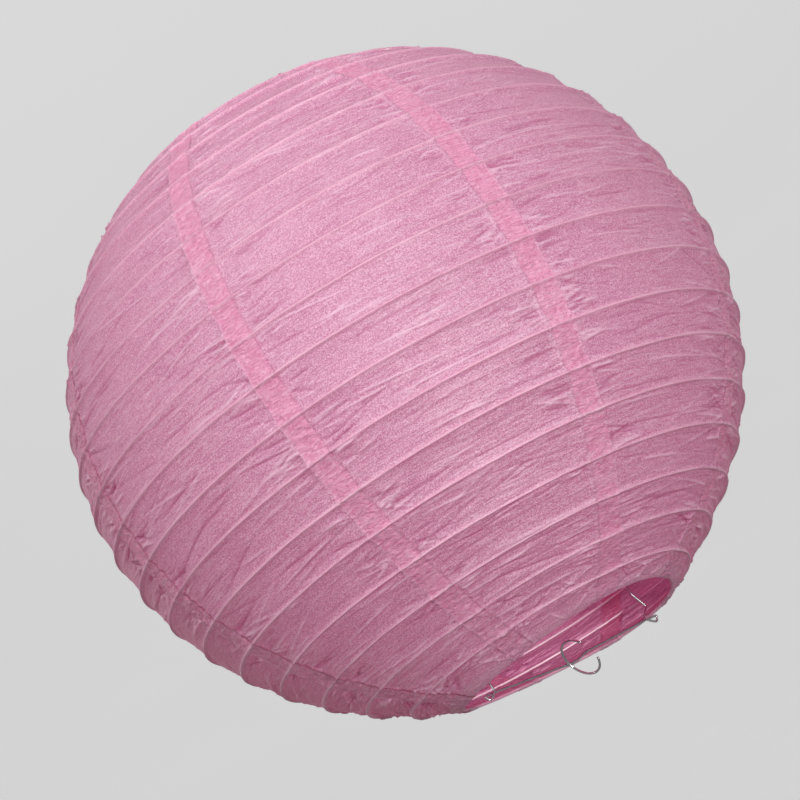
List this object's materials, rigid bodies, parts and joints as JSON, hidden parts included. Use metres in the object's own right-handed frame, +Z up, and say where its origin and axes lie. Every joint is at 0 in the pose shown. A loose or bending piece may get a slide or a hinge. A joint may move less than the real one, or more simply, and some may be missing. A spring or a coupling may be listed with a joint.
{
  "type": "round paper lantern",
  "caption": "Round collapsible tissue-paper lantern: glued paper gores over a coiled wire rib, two wire rim rings, a wire expander that holds it open and an open ring to hang it by.",
  "frame": {"origin": "top of the inside of the hanger ring, the point that bears on a ceiling hook or a cord", "axes": "+Z up along the lantern's own axis from the bottom mouth to the top mouth; X along the expander's crossbars; the hanger ring stands out from the top crossbar towards -Y and leans towards -X, so the lantern's axis is 14.2 mm from the origin towards +Y and 4.0 mm towards -X"},
  "size_m": [0.3992, 0.3994, 0.3947],
  "materials": {
    "tissue_paper": "matt translucent tissue paper with fine creases",
    "rib_wire": "dull drawn steel wire",
    "plated_wire": "bright plated steel wire"
  },
  "bodies": {
    "expander": {"expander_frame": "plated_wire", "hanger_ring": "plated_wire"},
    "shade_upper": {"top_rim_ring": "rib_wire", "rib_coil": "rib_wire", "gore_1": "tissue_paper", "gore_2": "tissue_paper", "gore_3": "tissue_paper", "gore_4": "tissue_paper", "gore_5": "tissue_paper", "gore_6": "tissue_paper", "gore_7": "tissue_paper", "gore_8": "tissue_paper"},
    "shade_lower": {"bottom_rim_ring": "rib_wire"}
  },
  "joints": [
    {"name": "shade_off_expander", "type": "slide", "parent": "expander", "child": "shade_upper", "axis": [0, 0, 1], "range_m": [-0.42, 0]},
    {"name": "collapse", "type": "slide", "parent": "shade_upper", "child": "shade_lower", "axis": [0, 0, 1], "range_m": [0, 0.345], "deforming": ["gore_1", "gore_2", "gore_3", "gore_4", "gore_5", "gore_6", "gore_7", "gore_8", "rib_coil"]}
  ]
}
